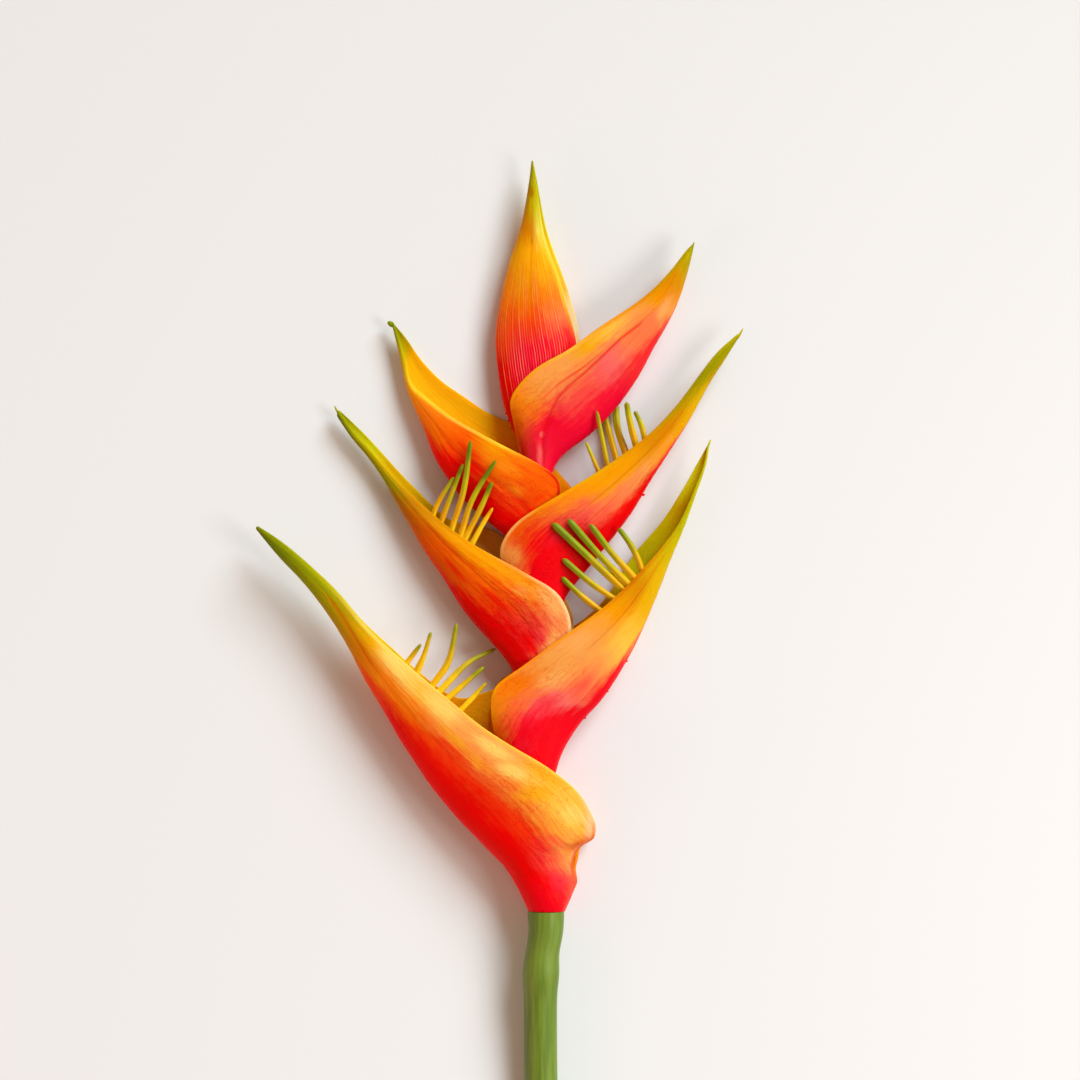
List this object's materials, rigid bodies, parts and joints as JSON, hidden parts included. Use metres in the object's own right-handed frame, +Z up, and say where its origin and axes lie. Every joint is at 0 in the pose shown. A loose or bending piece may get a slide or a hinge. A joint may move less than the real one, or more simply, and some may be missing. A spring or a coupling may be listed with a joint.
{
  "type": "heliconia flower head on a cut stem",
  "caption": "Heliconia flower head lying on its side: boat-shaped red and orange bracts with green tips, florets in their mouths, on a cut green stem",
  "frame": {"origin": "on the surface, under the middle of the flower's outline as it lies", "axes": "+X across the head, +Y from the cut end of the stem to the tip of the head, +Z up from the surface"},
  "size_m": [0.2026, 0.4572, 0.0255],
  "materials": {
    "stem": "smooth green skin with a soft sheen",
    "bract_1": "waxy, crimson keel to orange rim, green tip",
    "bract_2": "waxy, crimson keel to orange rim, green tip",
    "bract_3": "waxy, crimson keel to orange rim, green tip",
    "bract_4": "waxy, crimson keel to orange rim, green tip",
    "bract_5": "waxy, red keel to orange rim, yellow inside",
    "bract_6": "waxy, crimson keel to orange rim, olive tip",
    "bract_7": "waxy, red base through orange to a green tip",
    "florets": "waxy, yellow base to green tips"
  },
  "bodies": {
    "root": {"stem": "stem", "bract_1": "bract_1", "bract_2": "bract_2", "bract_3": "bract_3", "bract_4": "bract_4", "bract_5": "bract_5", "bract_6": "bract_6", "bract_7": "bract_7", "florets_1": "florets", "florets_2": "florets", "florets_3": "florets", "florets_4": "florets"}
  },
  "joints": []
}
